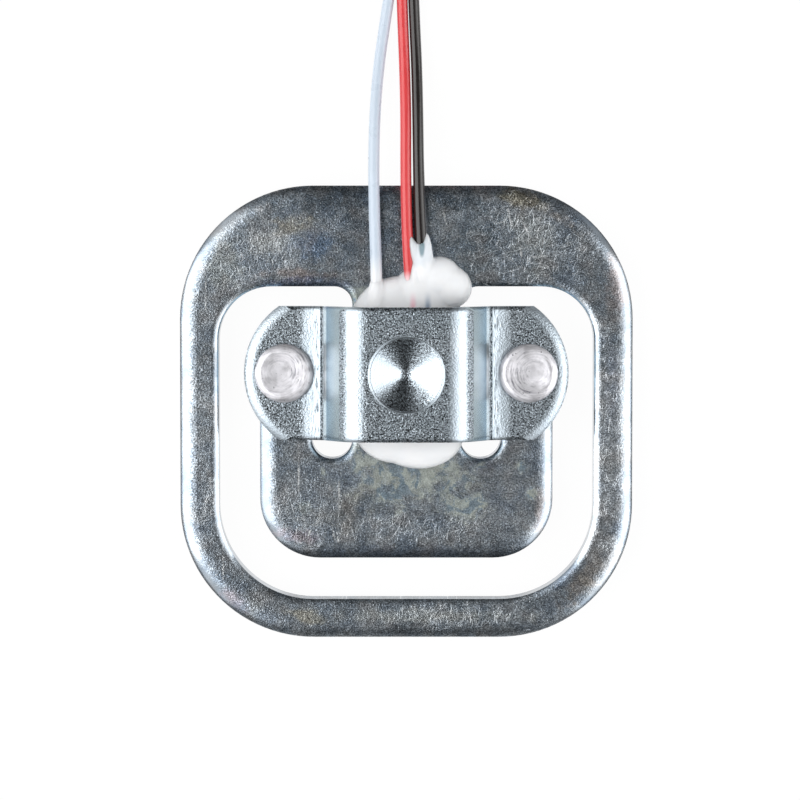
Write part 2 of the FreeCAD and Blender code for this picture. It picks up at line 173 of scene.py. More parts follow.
def blotch(tree, place, ragged, middle, reach, turn=0.0):
    # 1 inside a soft, ragged ellipse and 0 outside it; middle and reach in mm, turn in degrees
    local = addNode(tree, "Mapping", {"Vector": place, "Location": metres(*middle, 0),
                                      "Rotation": (0, 0, math.radians(turn)),
                                      "Scale": metres(*reach, anyHeight)}, vector_type="TEXTURE")
    away = addNode(tree, "VectorMath", {0: local}, operation="LENGTH").outputs["Value"]
    edge = addNode(tree, "Math", {0: ragged, 1: patchEdge["ragged"], 2: away}, operation="MULTIPLY_ADD")
    return addNode(tree, "MapRange", {"Value": edge, "From Min": patchEdge["outside"],
                                      "From Max": patchEdge["inside"]}, interpolation_type="SMOOTHSTEP")


def hairline(tree, place, angle, length, width, rarity, edge=0.06):
    # thin scuffs that run one way, this many mm long and wide
    local = addNode(tree, "Mapping", {"Vector": place, "Rotation": (0, 0, math.radians(angle)),
                                      "Scale": metres(length, width, anyHeight)}, vector_type="TEXTURE")
    lines = addNode(tree, "TexNoise", {"Vector": local, "Scale": 1.0, "Detail": 1.0, "Distortion": 0.4})
    return addNode(tree, "MapRange", {"Value": lines, "From Min": rarity, "From Max": rarity + edge})


def stripe(tree, value, middle, width, core=0.0, **settings):
    # 1 where the value is at the middle and 0 a width away; core is the share of the width that is full
    off = addNode(tree, "Math", {0: value, 1: middle}, operation="SUBTRACT")
    off = addNode(tree, "Math", {0: off}, operation="ABSOLUTE")
    return addNode(tree, "MapRange", {"Value": off, "From Min": width, "From Max": core * width}, **settings)


def strongest(tree, masks):
    # the largest of several masks at each place
    joined = masks[0]
    for mask in masks[1:]:
        joined = addNode(tree, "Math", {0: joined, 1: mask}, operation="MAXIMUM")
    return joined


def peppered(tree, place, tone, share, pits):
    # fine pits in a tone: their size in mm, detail, and the shade of the deepest and of the brightest places
    size, detail, deep, bright = pits
    noise = addNode(tree, "TexNoise", {"Vector": place, "Scale": perSize(size), "Detail": detail,
                                       "Roughness": 0.75})
    shade = addNode(tree, "MapRange", {"Value": noise, **pepperSpan, "To Min": deep, "To Max": bright})
    return addNode(tree, "MixRGB", {"Fac": share, "Color1": tone, "Color2": shade}, blend_type="MULTIPLY")


def leaning(tree, axis, none, full):
    # 0 where the normal's part along this axis is at the first value and 1 where it is at the second
    facing = addNode(tree, "SeparateXYZ", {0: addNode(tree, "TexCoord").outputs["Normal"]})
    part = addNode(tree, "Math", {0: facing.outputs[axis]}, operation="ABSOLUTE")
    return addNode(tree, "MapRange", {"Value": part, "From Min": none, "From Max": full},
                   interpolation_type="SMOOTHSTEP")


# Plate: sizes in mm; zinc's crystals are too fine to show, so pits, specks, sparks and grain are coarser
plateFinish = {
    "tone": ("#8f99a2", "#aeb6bd"), "cloud": 1.9, "cloudRange": (0.36, 0.62), "ragged": 1.4,
    "tint": 1.5,
    "tints": [("#75889f", 0.5, 0.68, 0.34), ("#9a8e84", 0.5, 0.34, 0.26)],  # hex, noise range, share
    "pits": (0.5, 4.0, 0.66, 1.2), "specks": (0.11, 1.0, 0.5, 1.6),
    "sparks": (35, 0.17, 0.11, 0.66), "sparkShare": 0.5,  # as the scuffs below
    "grain": 0.13, "depth": 0.03, "sideRelief": 0.2, "rough": (0.18, 0.3),
    "tumbled": (0.45, 0.16), "rim": (0.72, 0.86),  # how the normal leans where each starts and is full
    "patches": [  # passivation colours, smears, lighter and darker places, among them a painted shade along the top edge and painted highlights along the right and bottom bars: hex, middle, reach, turn in degrees, share
        # the first patch, dark along the top edge, is painted shade
        ("#55616b", (-3.0, 15.7), (9.5, 1.3), 0, 0.75), ("#626d77", (-2.5, 12.6), (4.6, 3.0), 0, 0.5),
        ("#5f717c", (5.2, 12.4), (2.6, 3.0), 0, 0.45), ("#d3ccb6", (-8.4, 14.0), (1.6, 0.8), 8, 0.5),
        ("#ced3d4", (-10.3, 12.8), (2.4, 0.8), 8, 0.55), ("#6d8db4", (-6.9, 12.7), (1.9, 1.3), 0, 0.45),
        ("#a48f86", (-8.7, 10.4), (3.0, 0.5), 0, 0.5), ("#56648a", (-8.2, 9.75), (3.6, 0.5), 0, 0.55),
        ("#bfc6c2", (-13.7, 11.0), (1.5, 2.2), 20, 0.4), ("#a79c78", (8.5, 16.1), (2.0, 0.8), -14, 0.55),
        ("#a2937f", (11.6, 14.5), (1.8, 0.6), -35, 0.5), ("#aa938a", (15.7, 9.4), (0.8, 2.6), 0, 0.45),
        ("#c4cac8", (9.6, 13.0), (2.6, 2.2), 20, 0.4), ("#7d93c0", (15.4, 1.5), (0.6, 3.2), 0, 0.5),
        ("#c8c2ac", (-7.6, -15.4), (2.2, 0.6), -10, 0.6), ("#c9cfd0", (-11.2, -14.6), (1.0, 0.6), -35, 0.5),
        # the pale band along the bottom bar's middle, #c3c9c8, is a painted highlight
        ("#ac98a0", (-12.8, -14.2), (1.2, 0.8), -45, 0.4), ("#c3c9c8", (0.5, -15.4), (9.0, 0.55), 0, 0.6),
        ("#b9ab9a", (13.2, -12.8), (0.8, 2.6), -35, 0.55), ("#5c6f86", (12.0, -12.4), (0.7, 1.6), -42, 0.5),
        ("#ab979f", (-8.0, -9.3), (1.8, 0.6), -8, 0.5), ("#7a8ba2", (0.5, -10.5), (9.0, 0.55), 0, 0.45),
        ("#b6bfba", (-7.7, -7.1), (0.6, 0.7), -40, 0.5), ("#a49188", (10.0, -7.6), (0.5, 1.8), 0, 0.45),
        ("#4f6384", (5.6, -4.0), (1.5, 0.6), 0, 0.5), ("#8b8474", (-5.0, -7.6), (2.2, 1.6), 30, 0.3),
        # the pale band down the right bar, #d2d8dd, is a painted highlight
        ("#d2d8dd", (15.3, -3.0), (1.4, 9.5), 0, 0.75), ("#bcc3c9", (7.6, -6.6), (2.8, 3.2), 0, 0.4)],
    "scuffs": [  # turn in degrees, length, width, rarity
        (84, 1.8, 0.055, 0.69), (58, 1.4, 0.05, 0.68), (16, 1.6, 0.05, 0.68), (143, 1.3, 0.05, 0.68),
        (108, 1.5, 0.05, 0.69)],
    "scuffTone": "#f2f5f6", "scuffShare": 0.85, "scuffHeight": 0.5,
    "scuffPlaces": [  # middle and reach
        ((9.2, 12.6), (4.6, 3.6)), ((-7.6, -8.2), (3.4, 2.6)), ((0.9, -8.6), (4.4, 1.0)),
        ((3.6, -15.4), (5.0, 1.0)), ((-11.6, 11.6), (4.0, 2.6)), ((-15.0, -4.0), (1.0, 8.0)),
        ((14.8, -2.0), (1.0, 7.0))],
    "scratches": [  # middle, half length, turn in degrees
        ((-8.1, -4.5), 1.8, 90), ((-5.48, -9.2), 0.8, 98), ((-5.2, -9.3), 0.7, 101),
        ((-7.28, -9.1), 0.65, 66), ((-5.06, -6.4), 1.3, 90), ((-13.78, -11.3), 1.5, 90),
        ((-15.05, 8.9), 1.8, 90), ((8.6, 11.9), 0.6, 97), ((9.95, 11.7), 0.95, 7),
        ((7.75, 14.6), 0.7, 105), ((9.0, 13.7), 0.6, 118), ((2.87, 14.65), 0.55, 105),
        ((10.2, 12.6), 0.6, 80)],
    "scratchWidth": 0.085, "scratchGap": 0.22, "gapRange": (0.35, 0.52),
    "flux": ("#5f727c", "#9aa096"), "fluxShare": 0.7, "fluxShine": 0.35,
    "dried": 1.1, "driedRange": (0.45, 0.5), "fluxGrain": (0.55, 5.0, 0.68, 1.4),
    "fluxPlaces": [  # middle and reach
        ((0.4, -4.6), (4.8, 2.6)), ((4.2, -6.9), (2.6, 1.2)), ((-3.6, -4.0), (0.9, 1.6)),
        ((-1.2, -6.2), (1.8, 0.7)), ((-6.25, -4.5), (0.4, 0.5)), ((8.7, -4.1), (0.7, 0.6)),
        ((9.4, -6.2), (0.4, 0.6)), ((-3.65, 8.6), (0.8, 0.9))]}


def stainedAndPaintedLight(tree, place, ragged):
    # clouds in the zinc, the patches over them, among which are a painted shade and painted highlights, and a
    # faint tint all over
    cloud = addNode(tree, "TexNoise", {"Vector": place, "Scale": perSize(plateFinish["cloud"]), "Detail": 5.0,
                                       "Roughness": 0.65})
    none, full = plateFinish["cloudRange"]
    cloud = addNode(tree, "MapRange", {"Value": cloud, "From Min": none, "From Max": full})
    low, high = plateFinish["tone"]
    tone = addNode(tree, "MixRGB", {"Fac": cloud, "Color1": linear(low), "Color2": linear(high)})
    for code, middle, reach, turn, share in plateFinish["patches"]:
        inside = addNode(tree, "Math", {0: blotch(tree, place, ragged, middle, reach, turn), 1: share},
                         operation="MULTIPLY")
        tone = addNode(tree, "MixRGB", {"Fac": inside, "Color1": tone, "Color2": linear(code)})
    tint = addNode(tree, "TexNoise", {"Vector": place, "Scale": perSize(plateFinish["tint"]), "Detail": 3.0})
    for code, none, full, share in plateFinish["tints"]:
        inside = addNode(tree, "MapRange", {"Value": tint, "From Min": none, "From Max": full,
                                            "To Max": share})
        tone = addNode(tree, "MixRGB", {"Fac": inside, "Color1": tone, "Color2": linear(code)})
    return tone


def scuffed(tree, place, ragged, tumbled):
    # hairlines that cross each other, in clusters
    lines = strongest(tree, [hairline(tree, place, *line) for line in plateFinish["scuffs"]])
    worn = strongest(tree, [blotch(tree, place, ragged, *zone) for zone in plateFinish["scuffPlaces"]])
    worn = addNode(tree, "Math", {0: worn, 1: tumbled}, operation="MULTIPLY")
    return addNode(tree, "Math", {0: lines, 1: worn}, operation="MULTIPLY")


def scratched(tree, place, ragged):
    # single scratches with small gaps in them
    lines = [blotch(tree, place, ragged, middle, (half, plateFinish["scratchWidth"]), turn)
             for middle, half, turn in plateFinish["scratches"]]
    gaps = addNode(tree, "TexNoise", {"Vector": place, "Scale": perSize(plateFinish["scratchGap"]),
                                      "Detail": 1.0})
    none, full = plateFinish["gapRange"]
    gaps = addNode(tree, "MapRange", {"Value": gaps, "From Min": none, "From Max": full})
    return addNode(tree, "Math", {0: strongest(tree, lines), 1: gaps}, operation="MULTIPLY")


def fluxFilm(tree, place, ragged, tumbled):
    # where dried flux lies, and its colour from a dark, clear film to pale crusts
    flux = strongest(tree, [blotch(tree, place, ragged, *zone) for zone in plateFinish["fluxPlaces"]])
    flux = addNode(tree, "Math", {0: flux, 1: plateFinish["fluxShare"]}, operation="MULTIPLY")
    dried = addNode(tree, "TexNoise", {"Vector": place, "Scale": perSize(plateFinish["dried"]), "Detail": 5.0,
                                       "Roughness": 0.65, "Distortion": 0.6})
    none, full = plateFinish["driedRange"]
    dried = addNode(tree, "MapRange", {"Value": dried, "From Min": none, "From Max": full})
    low, high = plateFinish["flux"]
    film = addNode(tree, "MixRGB", {"Fac": dried, "Color1": linear(low), "Color2": linear(high)})
    return flux, peppered(tree, place, film, tumbled, plateFinish["fluxGrain"])


def zincPlate():
    # bright zinc on rolled steel, tumbled in a barrel: a dark mirror with a mottled grain, hairline scuffs in
    # clusters, burnished sides, faint passivation colours, pale smears, a painted shade along the top edge,
    # painted highlights along the right and bottom bars and a dried film of flux
    material, tree, shader = newMaterial("zincPlatedRolledSteel")
    place = addNode(tree, "TexCoord").outputs["Object"]
    tumbled = leaning(tree, "X", *plateFinish["tumbled"])
    ragged = addNode(tree, "TexNoise", {"Vector": place, "Scale": perSize(plateFinish["ragged"]),
                                        "Detail": 6.0, "Roughness": 0.75})
    # the zinc's tone and stains, with a painted shade and painted highlights among its patches
    tone = stainedAndPaintedLight(tree, place, ragged)
    for pits in (plateFinish["pits"], plateFinish["specks"]):
        tone = peppered(tree, place, tone, tumbled, pits)
    scuff = scuffed(tree, place, ragged, tumbled)
    bright = addNode(tree, "Math", {0: strongest(tree, [scratched(tree, place, ragged), scuff]),
                                    1: plateFinish["scuffShare"]}, operation="MULTIPLY")
    spark = addNode(tree, "Math", {0: hairline(tree, place, *plateFinish["sparks"]),
                                   1: plateFinish["sparkShare"]}, operation="MULTIPLY")
    spark = addNode(tree, "Math", {0: spark, 1: tumbled}, operation="MULTIPLY")
    tone = addNode(tree, "MixRGB", {"Fac": strongest(tree, [bright, spark]), "Color1": tone,
                                    "Color2": linear(plateFinish["scuffTone"])})
    flux, film = fluxFilm(tree, place, ragged, tumbled)
    tone = addNode(tree, "MixRGB", {"Fac": flux, "Color1": tone, "Color2": film})
    bare = addNode(tree, "MapRange", {"Value": flux, "To Min": 1.0, "To Max": plateFinish["fluxShine"]})
    burnished, dull = plateFinish["rough"]
    rough = addNode(tree, "MapRange", {"Value": tumbled, "To Min": burnished, "To Max": dull})
    grain = addNode(tree, "TexNoise", {"Vector": place, "Scale": perSize(plateFinish["grain"]), "Detail": 2.0,
                                       "Roughness": 0.6})
    height = addNode(tree, "Math", {0: scuff, 1: plateFinish["scuffHeight"], 2: grain},
                     operation="MULTIPLY_ADD")
    strength = addNode(tree, "MapRange", {"Value": tumbled, "To Min": plateFinish["sideRelief"],
                                          "To Max": 1.0})
    strength = addNode(tree, "Math", {0: strength, 1: leaning(tree, "Z", *plateFinish["rim"])},
                       operation="MULTIPLY")
    relief = addNode(tree, "Bump", {"Height": height, "Strength": strength,
                                    "Distance": plateFinish["depth"] * mm})
    connect(tree, shader, {"Base Color": tone, "Metallic": bare, "Roughness": rough, "Normal": relief})
    return material


# Strap: sizes in mm; its pits and grain are drawn coarser than the press leaves them, so that they show
strapFinish = {
    # wall: the walls' own tone, bluer outward towards the crease as a painted reflection
    "tone": ("#a0acb5", "#bac3ca"), "cloud": 2.0, "wall": ("#a9b6ba", "#98adba"), "wallReach": (5.2, 5.9),
    "pits": (0.12, 2.0, 0.03, 1.6), "grain": 0.14, "depth": 0.05,
    "rough": (0.22, 0.31), "relief": (0.08, 0.65), "flatRelief": 0.35,
    # how the normal leans where each starts and is full
    "pressed": (0.62, 0.68), "flat": (0.92, 0.99), "level": (0.2, 0.06), "steep": (0.55, 0.66),
    "inCone": (0.4, 0.24), "conePolish": 0.45,
    # the crease colour paints die marks together with painted shade in the crease, and the press marks beside
    # it
    "crease": 6.35, "creaseWidth": 0.13, "creaseCore": 0.4, "creaseShadeAndMarkColour": "#1f262b",
    "dot": 0.14, "dotRange": (0.38, 0.56), "dotLeast": 0.6,
    # bend: a painted highlight, a pale line along each wall beside the crease
    "bendHighlight": 6.08, "bendWidth": 0.16, "bendCore": 0.3, "bendHighlightColour": "#e4edf0",
    "marks": (6.42, 6.6, 7.5), "markSize": (0.09, 0.9), "markRange": (0.47, 0.6), "markShare": 0.9,
    "dimpleAlong": 3.0, "dimpleRadius": 2.78, "lipWidth": 0.11, "lipHeight": 0.055, "lipClear": 0.3}


def creased(tree, place, across):
    # a dotted dark line in the crease at each ear, die marks with painted shade of the crease, and the press
    # marks beside it
    crease = stripe(tree, across, strapFinish["crease"] * mm, strapFinish["creaseWidth"] * mm,
                    strapFinish["creaseCore"])
    dots = addNode(tree, "TexNoise", {"Vector": place, "Scale": perSize(strapFinish["dot"]), "Detail": 1.0})
    none, full = strapFinish["dotRange"]
    dots = addNode(tree, "MapRange", {"Value": dots, "From Min": none, "From Max": full,
                                      "To Min": strapFinish["dotLeast"]})
    crease = addNode(tree, "Math", {0: crease, 1: dots}, operation="MULTIPLY")
    first, middle, last = strapFinish["marks"]
    outer = addNode(tree, "MapRange", {"Value": across, "From Min": last * mm, "From Max": middle * mm})
    inner = addNode(tree, "MapRange", {"Value": across, "From Min": first * mm, "From Max": middle * mm})
    zone = addNode(tree, "Math", {0: outer, 1: inner}, operation="MULTIPLY")
    local = addNode(tree, "Mapping", {"Vector": place, "Scale": metres(*strapFinish["markSize"], anyHeight)},
                    vector_type="TEXTURE")
    marks = addNode(tree, "TexNoise", {"Vector": local, "Scale": 1.0, "Detail": 1.0})
    none, full = strapFinish["markRange"]
    marks = addNode(tree, "MapRange", {"Value": marks, "From Min": none, "From Max": full})
    marks = addNode(tree, "Math", {0: marks, 1: zone}, operation="MULTIPLY")
    marks = addNode(tree, "Math", {0: marks, 1: dots}, operation="MULTIPLY")
    return addNode(tree, "Math", {0: marks, 1: strapFinish["markShare"], 2: crease},
                   operation="MULTIPLY_ADD", use_clamp=True)


def zincStrap():
    # zinc on pressed steel: the press face leaves an even, sparkling pitted grain, the bent walls are ironed
    # smooth and painted bluer towards the crease as a reflection, with a painted highlight beside it, dotted
    # dark lines of die marks and painted crease shade follow the crease at each ear and a thin raised lip
    # runs round the dimple
    material, tree, shader = newMaterial("zincPlatedPressedSteel")
    place = addNode(tree, "TexCoord").outputs["Object"]
    across = addNode(tree, "SeparateXYZ", {0: place}).outputs["X"]
    across = addNode(tree, "Math", {0: across}, operation="ABSOLUTE")
    local = addNode(tree, "Mapping", {"Vector": place, "Location": metres(0, strapFinish["dimpleAlong"], 0),
                                      "Scale": metres(1, 1, anyHeight)}, vector_type="TEXTURE")
    away = addNode(tree, "VectorMath", {0: local}, operation="LENGTH").outputs["Value"]  # mm
    lip = stripe(tree, away, strapFinish["dimpleRadius"], strapFinish["lipWidth"],
                 interpolation_type="SMOOTHSTEP")
    offLip = addNode(tree, "MapRange", {"Value": lip, "From Max": strapFinish["lipClear"], "To Min": 1.0,
                                        "To Max": 0.0})
    cone = addNode(tree, "Math", {0: away, 1: strapFinish["dimpleRadius"]}, operation="LESS_THAN")
    inCone = addNode(tree, "Math", {0: cone, 1: leaning(tree, "X", *strapFinish["inCone"])},
                     operation="MULTIPLY")
    level = strongest(tree, [leaning(tree, "X", *strapFinish["level"]),
                             leaning(tree, "X", *strapFinish["steep"]), inCone])
    level = addNode(tree, "Math", {0: level, 1: offLip}, operation="MULTIPLY")
    cloud = addNode(tree, "TexNoise", {"Vector": place, "Scale": perSize(strapFinish["cloud"]),
                                       "Detail": 2.0})
    low, high = strapFinish["tone"]
    tone = addNode(tree, "MixRGB", {"Fac": cloud, "Color1": linear(low), "Color2": linear(high)})
    tone = peppered(tree, place, tone, level, strapFinish["pits"])
    # the walls' tone turns bluer towards the crease, a painted reflection
    near, far = strapFinish["wallReach"]
    outward = addNode(tree, "MapRange", {"Value": across, "From Min": near * mm, "From Max": far * mm})
    low, high = strapFinish["wall"]
    wall = addNode(tree, "MixRGB", {"Fac": outward, "Color1": linear(low), "Color2": linear(high)})
    pressed = leaning(tree, "Z", *strapFinish["pressed"])
    tone = addNode(tree, "MixRGB", {"Fac": pressed, "Color1": wall, "Color2": tone})
    # painted highlight: a pale line on each wall beside the crease
    bendHighlight = stripe(tree, across, strapFinish["bendHighlight"] * mm, strapFinish["bendWidth"] * mm,
                  strapFinish["bendCore"])
    tone = addNode(tree, "MixRGB", {"Fac": bendHighlight, "Color1": tone, "Color2": linear(strapFinish["bendHighlightColour"])})
    # die marks and painted shade: a dark dotted line in the crease, with the press marks beside it
    tone = addNode(tree, "MixRGB", {"Fac": creased(tree, place, across), "Color1": tone,
                                    "Color2": linear(strapFinish["creaseShadeAndMarkColour"])})
    polish = addNode(tree, "MapRange", {"Value": cone, "To Min": 1.0, "To Max": strapFinish["conePolish"]})
    coarse = addNode(tree, "Math", {0: pressed, 1: polish}, operation="MULTIPLY")
    ironed, dull = strapFinish["rough"]
    rough = addNode(tree, "MapRange", {"Value": coarse, "To Min": ironed, "To Max": dull})
    low, high = strapFinish["relief"]
    strength = addNode(tree, "MapRange", {"Value": coarse, "To Min": low, "To Max": high})
    strength = addNode(tree, "Math", {0: leaning(tree, "Z", *strapFinish["flat"]),
                                      1: strapFinish["flatRelief"], 2: strength}, operation="MULTIPLY_ADD")
    grain = addNode(tree, "TexNoise", {"Vector": place, "Scale": perSize(strapFinish["grain"]), "Detail": 2.0,
                                       "Roughness": 0.6})
    height = addNode(tree, "Math", {0: grain, 1: offLip}, operation="MULTIPLY")
    height = addNode(tree, "Math", {0: lip, 1: strapFinish["lipHeight"] / strapFinish["depth"], 2: height},
                     operation="MULTIPLY_ADD")
    relief = addNode(tree, "Bump", {"Height": height, "Strength": strength,
                                    "Distance": strapFinish["depth"] * mm})
    connect(tree, shader, {"Base Color": tone, "Metallic": 1.0, "Roughness": rough, "Normal": relief})
    return material


# Rivets: sizes in mm
rivetFinish = {"tone": ("#8f8e98", "#edecf0"), "toneRange": (0.32, 0.52), "arcPitch": 0.13, "arcs": 1.5,
               "calm": (0.25, 0.8), "rubbed": (1.0, 1.6), "rubbedLeast": 0.3, "depth": 0.012,
               "smear": 0.9, "smearRange": (0.36, 0.62), "smearShade": (0.75, 1.08),
               "pit": "#55545a", "pitSize": 0.2, "pitRange": (0.27, 0.23),
               "rough": (0.48, 0.6), "roughRange": (0.35, 0.65)}


def rivetSteel(name, middle, offset, rubbed):
    # steel formed by an orbiting punch: broken rings that wander off the middle, small pits and a soft sheen
    material, tree, shader = newMaterial(name)
    place = addNode(tree, "TexCoord").outputs["Object"]
    local = addNode(tree, "Mapping", {"Vector": place, "Scale": metres(1, 1, anyHeight),
                                      "Location": metres(middle[0] + offset[0], middle[1] + offset[1], 0)},
                    vector_type="TEXTURE")
    away = addNode(tree, "VectorMath", {0: local}, operation="LENGTH").outputs["Value"]  # mm
    heading = addNode(tree, "VectorMath", {0: local}, operation="NORMALIZE")
    spread = addNode(tree, "VectorMath", {0: heading, "Scale": rivetFinish["arcs"]}, operation="SCALE")
    rise = addNode(tree, "Math", {0: away, 1: 1 / rivetFinish["arcPitch"]}, operation="MULTIPLY")
    polar = addNode(tree, "VectorMath", {0: spread, 1: addNode(tree, "CombineXYZ", {"Z": rise})},
                    operation="ADD")
    arcs = addNode(tree, "TexNoise", {"Vector": polar, "Scale": 1.0, "Detail": 3.0, "Roughness": 0.6})
    none, full = rivetFinish["calm"]
    calm = addNode(tree, "MapRange", {"Value": away, "From Min": none, "From Max": full})
    smear = addNode(tree, "TexNoise", {"Vector": place, "Scale": perSize(rivetFinish["smear"]),
                                       "Detail": 3.0})
    side = blotch(tree, place, smear, (middle[0] + rubbed[0], middle[1] + rubbed[1]), rivetFinish["rubbed"])
    side = addNode(tree, "MapRange", {"Value": side, "To Min": rivetFinish["rubbedLeast"], "To Max": 1.0})
    calm = addNode(tree, "Math", {0: calm, 1: side}, operation="MULTIPLY")
    arcs = addNode(tree, "MixRGB", {"Fac": calm, "Color1": noiseMean, "Color2": arcs})
    none, full = rivetFinish["toneRange"]
    share = addNode(tree, "MapRange", {"Value": arcs, "From Min": none, "From Max": full})
    low, high = rivetFinish["tone"]
    tone = addNode(tree, "MixRGB", {"Fac": share, "Color1": linear(low), "Color2": linear(high)})
    none, full = rivetFinish["smearRange"]
    low, high = rivetFinish["smearShade"]
    worn = addNode(tree, "MapRange", {"Value": smear, "From Min": none, "From Max": full, "To Min": low,
                                      "To Max": high})
    tone = addNode(tree, "MixRGB", {"Fac": 1.0, "Color1": tone, "Color2": worn}, blend_type="MULTIPLY")
    pits = addNode(tree, "TexNoise", {"Vector": place, "Scale": perSize(rivetFinish["pitSize"]),
                                      "Detail": 1.0})
    none, full = rivetFinish["pitRange"]
    pits = addNode(tree, "MapRange", {"Value": pits, "From Min": none, "From Max": full})
    tone = addNode(tree, "MixRGB", {"Fac": pits, "Color1": tone, "Color2": linear(rivetFinish["pit"])})
    none, full = rivetFinish["roughRange"]
    low, high = rivetFinish["rough"]
    rough = addNode(tree, "MapRange", {"Value": arcs, "From Min": none, "From Max": full, "To Min": low,
                                       "To Max": high})
    relief = addNode(tree, "Bump", {"Height": arcs, "Strength": 1.0, "Distance": rivetFinish["depth"] * mm})
    connect(tree, shader, {"Base Color": tone, "Metallic": 1.0, "Roughness": rough, "Normal": relief})
    return material


# Insulation: sizes in mm; the film is a hex and where along y it starts and is full
pvcFinish = {"cloud": 1.2, "skin": 0.3, "depth": 0.006, "relief": 0.5, "uneven": 0.05, "ior": 1.53}


def pvc(name, colour, worn, roughness, film=None):
    # PVC drawn through a die: a glossy skin of slightly uneven colour, filmed with silicone near the sealant
    material, tree, shader = newMaterial(name)
    place = addNode(tree, "TexCoord").outputs["Object"]
    cloud = addNode(tree, "TexNoise", {"Vector": place, "Scale": perSize(pvcFinish["cloud"]), "Detail": 3.0})
    tone = addNode(tree, "MixRGB", {"Fac": cloud, "Color1": linear(colour), "Color2": linear(worn)})
    if film:
        code, clean, coated = film
        along = addNode(tree, "SeparateXYZ", {0: place}).outputs["Y"]
        coat = addNode(tree, "MapRange", {"Value": along, "From Min": clean * mm, "From Max": coated * mm},
                       interpolation_type="SMOOTHSTEP")
        tone = addNode(tree, "MixRGB", {"Fac": coat, "Color1": tone, "Color2": linear(code)})
    rough = addNode(tree, "MapRange", {"Value": cloud, **noiseSpan, "To Min": roughness - pvcFinish["uneven"],
                                       "To Max": roughness + pvcFinish["uneven"]})
    skin = addNode(tree, "TexNoise", {"Vector": place, "Scale": perSize(pvcFinish["skin"]), "Detail": 1.0})
    relief = addNode(tree, "Bump", {"Height": skin, "Strength": pvcFinish["relief"],
                                    "Distance": pvcFinish["depth"] * mm})
    connect(tree, shader, {"Base Color": tone, "Roughness": rough, "IOR": pvcFinish["ior"], "Normal": relief})
    return material


# Silicone: sizes in mm
siliconeFinish = {
    "tone": ("#dee0e3", "#e6e6e6"), "cloud": 2.2, "rough": (0.38, 0.52), "relief": 0.4, "depth": 0.15,
    "scatter": (1.5, 1.45, 1.4), "ior": 1.41,
    "through": [("#e6bcc6", 0.5, 0.36), ("#93a2b3", 1.6, 0.36)],  # leads deep in it: hex, place across, reach
    "throughStart": (9.3, 7.7), "throughEnd": (6.0, 7.0),  # along y, from none to full
    "ragged": 2.4,
    "thin": [  # where the leads tint a thin skin: hex, middle, reach, share
        ("#bcc6cf", (1.15, 12.1), (1.2, 1.7), 0.5), ("#5f7c86", (1.17, 12.25), (0.2, 0.56), 0.8)]}


def silicone():
    # neutral-cure silicone: milky and soft to the light, a satin skin, the leads faint where it is thin
    material, tree, shader = newMaterial("neutralCureSilicone")
    place = addNode(tree, "TexCoord").outputs["Object"]
    cloud = addNode(tree, "TexNoise", {"Vector": place, "Scale": perSize(siliconeFinish["cloud"]),
                                       "Detail": 2.0})
    low, high = siliconeFinish["tone"]
    tone = addNode(tree, "MixRGB", {"Fac": cloud, "Color1": linear(low), "Color2": linear(high)})
    axes = addNode(tree, "SeparateXYZ", {0: place}).outputs
    none, full = siliconeFinish["throughStart"]
    deep = addNode(tree, "MapRange", {"Value": axes["Y"], "From Min": none * mm, "From Max": full * mm},
                   interpolation_type="SMOOTHSTEP")
    none, full = siliconeFinish["throughEnd"]
    hidden = addNode(tree, "MapRange", {"Value": axes["Y"], "From Min": none * mm, "From Max": full * mm})
    deep = addNode(tree, "Math", {0: deep, 1: hidden}, operation="MULTIPLY")
    for code, middle, reach in siliconeFinish["through"]:
        lead = stripe(tree, axes["X"], middle * mm, reach * mm, interpolation_type="SMOOTHSTEP")
        lead = addNode(tree, "Math", {0: lead, 1: deep}, operation="MULTIPLY")
        tone = addNode(tree, "MixRGB", {"Fac": lead, "Color1": tone, "Color2": linear(code)})
    ragged = addNode(tree, "TexNoise", {"Vector": place, "Scale": perSize(siliconeFinish["ragged"])})
    for code, middle, reach, share in siliconeFinish["thin"]:
        thin = addNode(tree, "Math", {0: blotch(tree, place, ragged, middle, reach), 1: share},
                       operation="MULTIPLY")
        tone = addNode(tree, "MixRGB", {"Fac": thin, "Color1": tone, "Color2": linear(code)})
    low, high = siliconeFinish["rough"]
    rough = addNode(tree, "MapRange", {"Value": cloud, **noiseSpan, "To Min": low, "To Max": high})
    relief = addNode(tree, "Bump", {"Height": cloud, "Strength": siliconeFinish["relief"],
                                    "Distance": siliconeFinish["depth"] * mm})
    connect(tree, shader, {"Base Color": tone, "Roughness": rough, "IOR": siliconeFinish["ior"],
                           "Normal": relief, "Subsurface Weight": 1.0, "Subsurface Scale": 1.0,
                           "Subsurface Radius": metres(*siliconeFinish["scatter"])})
    return material


def speckled(name, colour, worn, size, depth, roughness, metallic, uneven=0.06):
    # a plain finish with an uneven grain, coarser than the real one so that it shows: drawn strands, solder,
    # etched foil, cast film, moulded skin
    material, tree, shader = newMaterial(name)
    place = addNode(tree, "TexCoord").outputs["Object"]
    grain = addNode(tree, "TexNoise", {"Vector": place, "Scale": perSize(size), "Detail": 3.0})
    tone = addNode(tree, "MixRGB", {"Fac": grain, "Color1": linear(colour), "Color2": linear(worn)})
    rough = addNode(tree, "MapRange", {"Value": grain, **noiseSpan, "To Min": roughness - uneven,
                                       "To Max": roughness + uneven})
    relief = addNode(tree, "Bump", {"Height": grain, "Strength": 1.0, "Distance": depth * mm})
    connect(tree, shader, {"Base Color": tone, "Metallic": metallic, "Roughness": rough, "Normal": relief})
    return material


tinnedCopper = speckled("tinnedCopperStrand", "#b9b7b2", "#d3d1cc", 0.12, 0.006, 0.36, 1.0)
print("finishes mixed")


